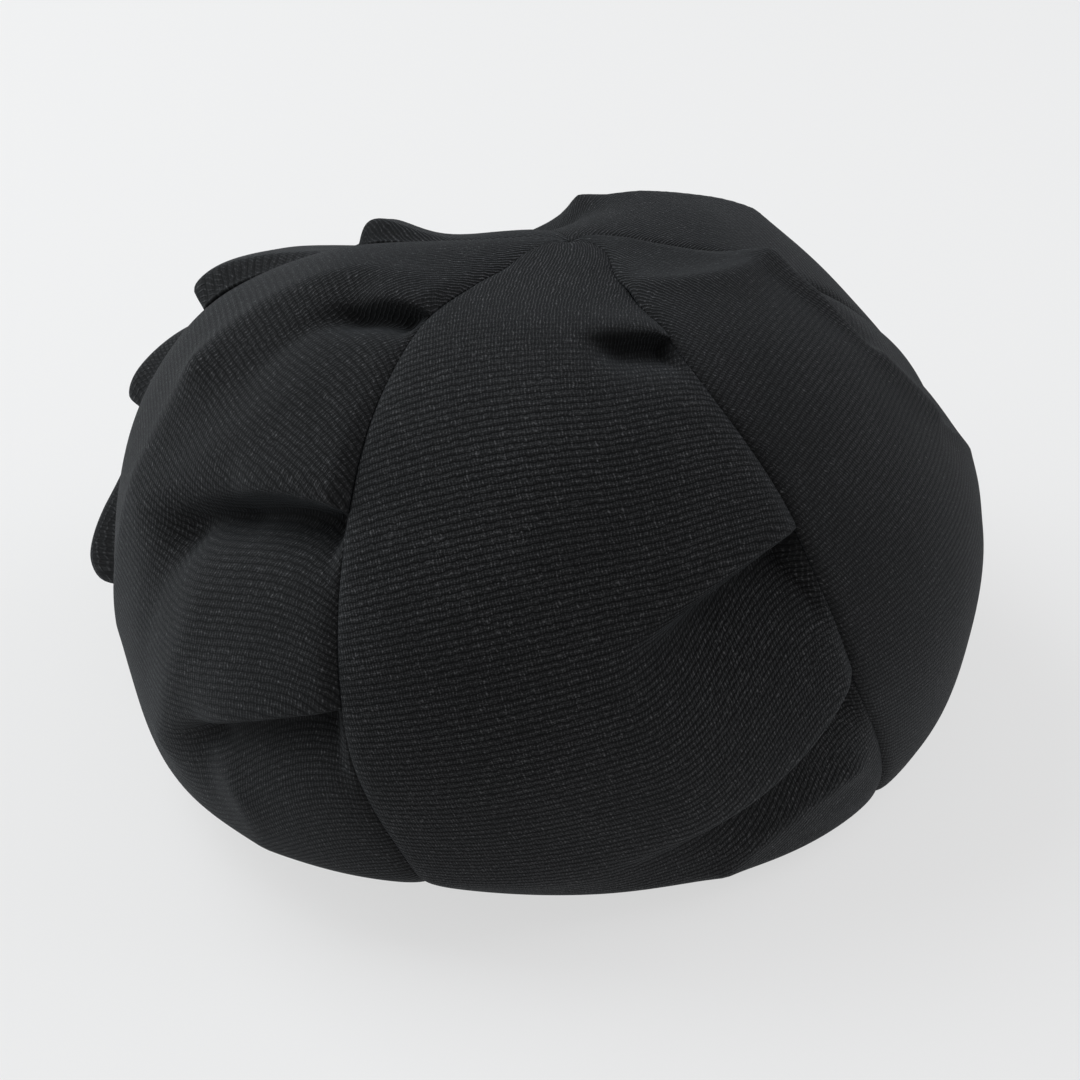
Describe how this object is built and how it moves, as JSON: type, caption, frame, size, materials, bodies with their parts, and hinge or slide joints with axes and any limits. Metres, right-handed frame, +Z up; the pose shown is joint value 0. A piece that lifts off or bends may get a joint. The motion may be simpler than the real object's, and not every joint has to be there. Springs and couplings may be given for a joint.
{
  "type": "baker boy cap",
  "caption": "Baker boy cap of ribbed black fabric with a full tucked crown, an oval headband and a short stiff peak.",
  "frame": {"origin": "centre of the bounding box in plan, on the plane of the headband's bottom rim that the cap rests on", "axes": "+Z up out of the crown, +Y towards the peak, +X to the wearer's right"},
  "size_m": [0.2848, 0.2814, 0.1716],
  "materials": {
    "crown_fabric": "matt ribbed crepe knit with a faint sheen",
    "band_fabric": "matt ribbed crepe knit, folded into a band",
    "peak_fabric": "matt ribbed crepe knit stretched over a stiff board"
  },
  "bodies": {
    "root": {"crown_panel_back": "crown_fabric", "crown_panel_right": "crown_fabric", "crown_panel_front_right": "crown_fabric", "crown_panel_front_left": "crown_fabric", "crown_panel_left": "crown_fabric", "headband": "band_fabric", "peak": "peak_fabric"}
  },
  "joints": []
}
